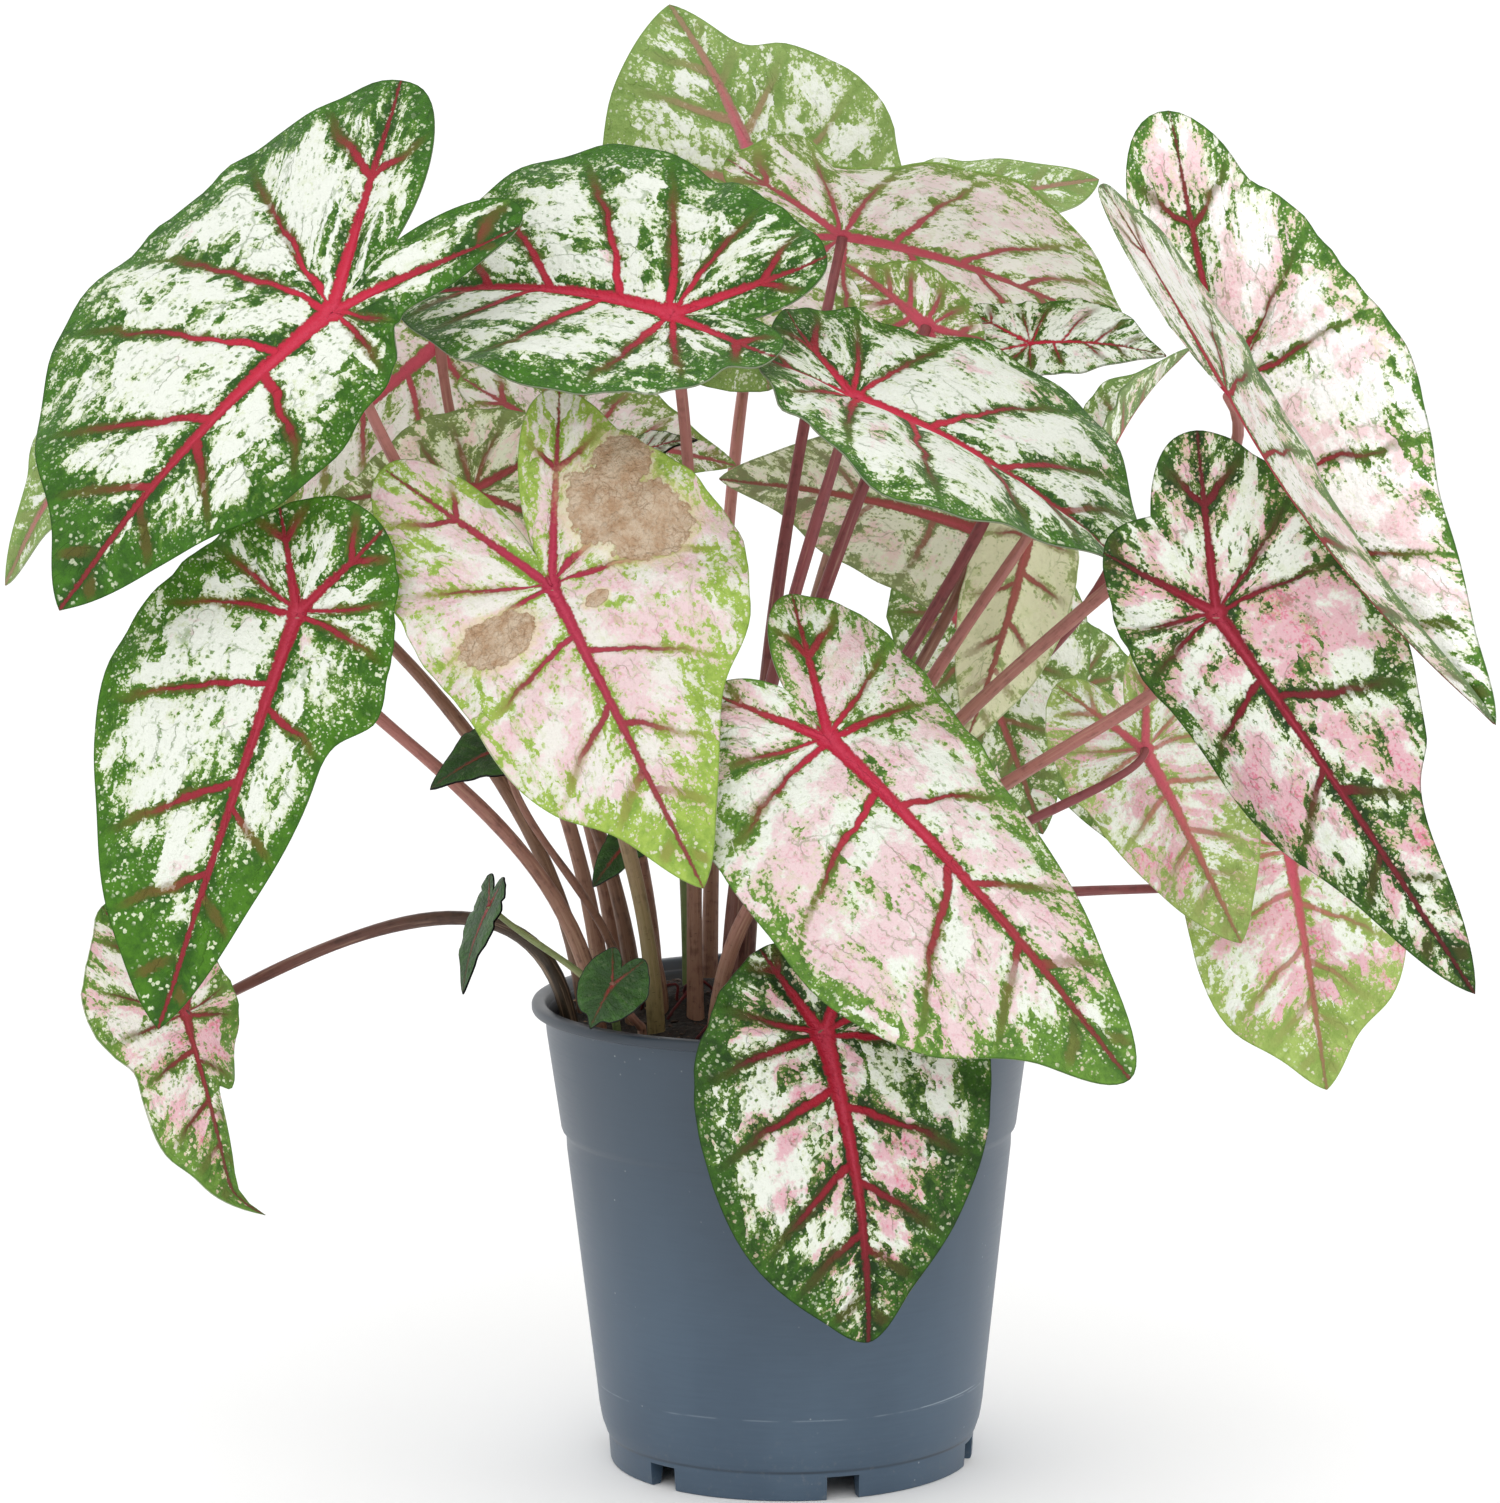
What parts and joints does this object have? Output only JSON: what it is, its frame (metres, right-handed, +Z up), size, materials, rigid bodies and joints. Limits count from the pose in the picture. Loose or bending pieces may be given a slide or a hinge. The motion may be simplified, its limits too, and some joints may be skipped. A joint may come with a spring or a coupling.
{
  "type": "potted caladium plant",
  "caption": "Potted caladium with heart-shaped green, white and pink leaves on bent stalks, standing in soil in a round nursery pot with a notched foot.",
  "frame": {"origin": "centre of the pot's foot, in the plane the pot stands on", "axes": "+Z up along the pot's axis; -Y is the side the largest leaves hang towards; +X is to the right when looking along +Y"},
  "size_m": [0.3934, 0.2882, 0.3972],
  "materials": {
    "pot_plastic": "satin slate blue-grey",
    "soil": "loose dark potting mix",
    "blade": "thin leaf, green edge, white and pink patches, red veins",
    "stalk": "satin red-brown stalk",
    "young_leaf": "satin dark green young leaf"
  },
  "bodies": {
    "root": {"pot": "pot_plastic", "soil": "soil", "blade_left_high": "blade", "blade_centre_high": "blade", "blade_right_middle": "blade", "blade_right_high": "blade", "blade_right_low": "blade", "blade_left_low": "blade", "blade_centre_lime": "blade", "blade_centre_pink": "blade", "blade_pot_front": "blade", "blade_left_trailing": "blade", "blade_back_top": "blade", "blade_back_underside": "blade", "blade_back_right": "blade", "blade_inner_salmon": "blade", "blade_inner_right": "blade", "blade_right_edgewise": "blade", "blade_shade_underside": "blade", "blade_rolled_pale": "blade", "blade_right_inner": "blade", "blade_right_back": "blade", "blade_right_underside": "blade", "blade_right_bottom": "blade", "blade_far_left": "blade", "blade_left_back": "blade", "blade_left_inner": "blade", "blade_centre_back": "blade", "stalk_left_high": "stalk", "stalk_centre_high": "stalk", "stalk_right_middle": "stalk", "stalk_right_high": "stalk", "stalk_right_low": "stalk", "stalk_left_low": "stalk", "stalk_centre_lime": "stalk", "stalk_centre_pink": "stalk", "stalk_pot_front": "stalk", "stalk_left_trailing": "stalk", "stalk_back_top": "stalk", "stalk_back_underside": "stalk", "stalk_back_right": "stalk", "stalk_inner_salmon": "stalk", "stalk_inner_right": "stalk", "stalk_right_edgewise": "stalk", "stalk_shade_underside": "stalk", "stalk_rolled_pale": "stalk", "stalk_right_inner": "stalk", "stalk_right_back": "stalk", "stalk_right_underside": "stalk", "stalk_right_bottom": "stalk", "stalk_far_left": "stalk", "stalk_left_back": "stalk", "stalk_left_inner": "stalk", "stalk_centre_back": "stalk", "young_folded": "young_leaf", "young_green": "young_leaf", "young_sideways": "young_leaf", "young_round": "young_leaf", "young_dark": "young_leaf"}
  },
  "joints": []
}
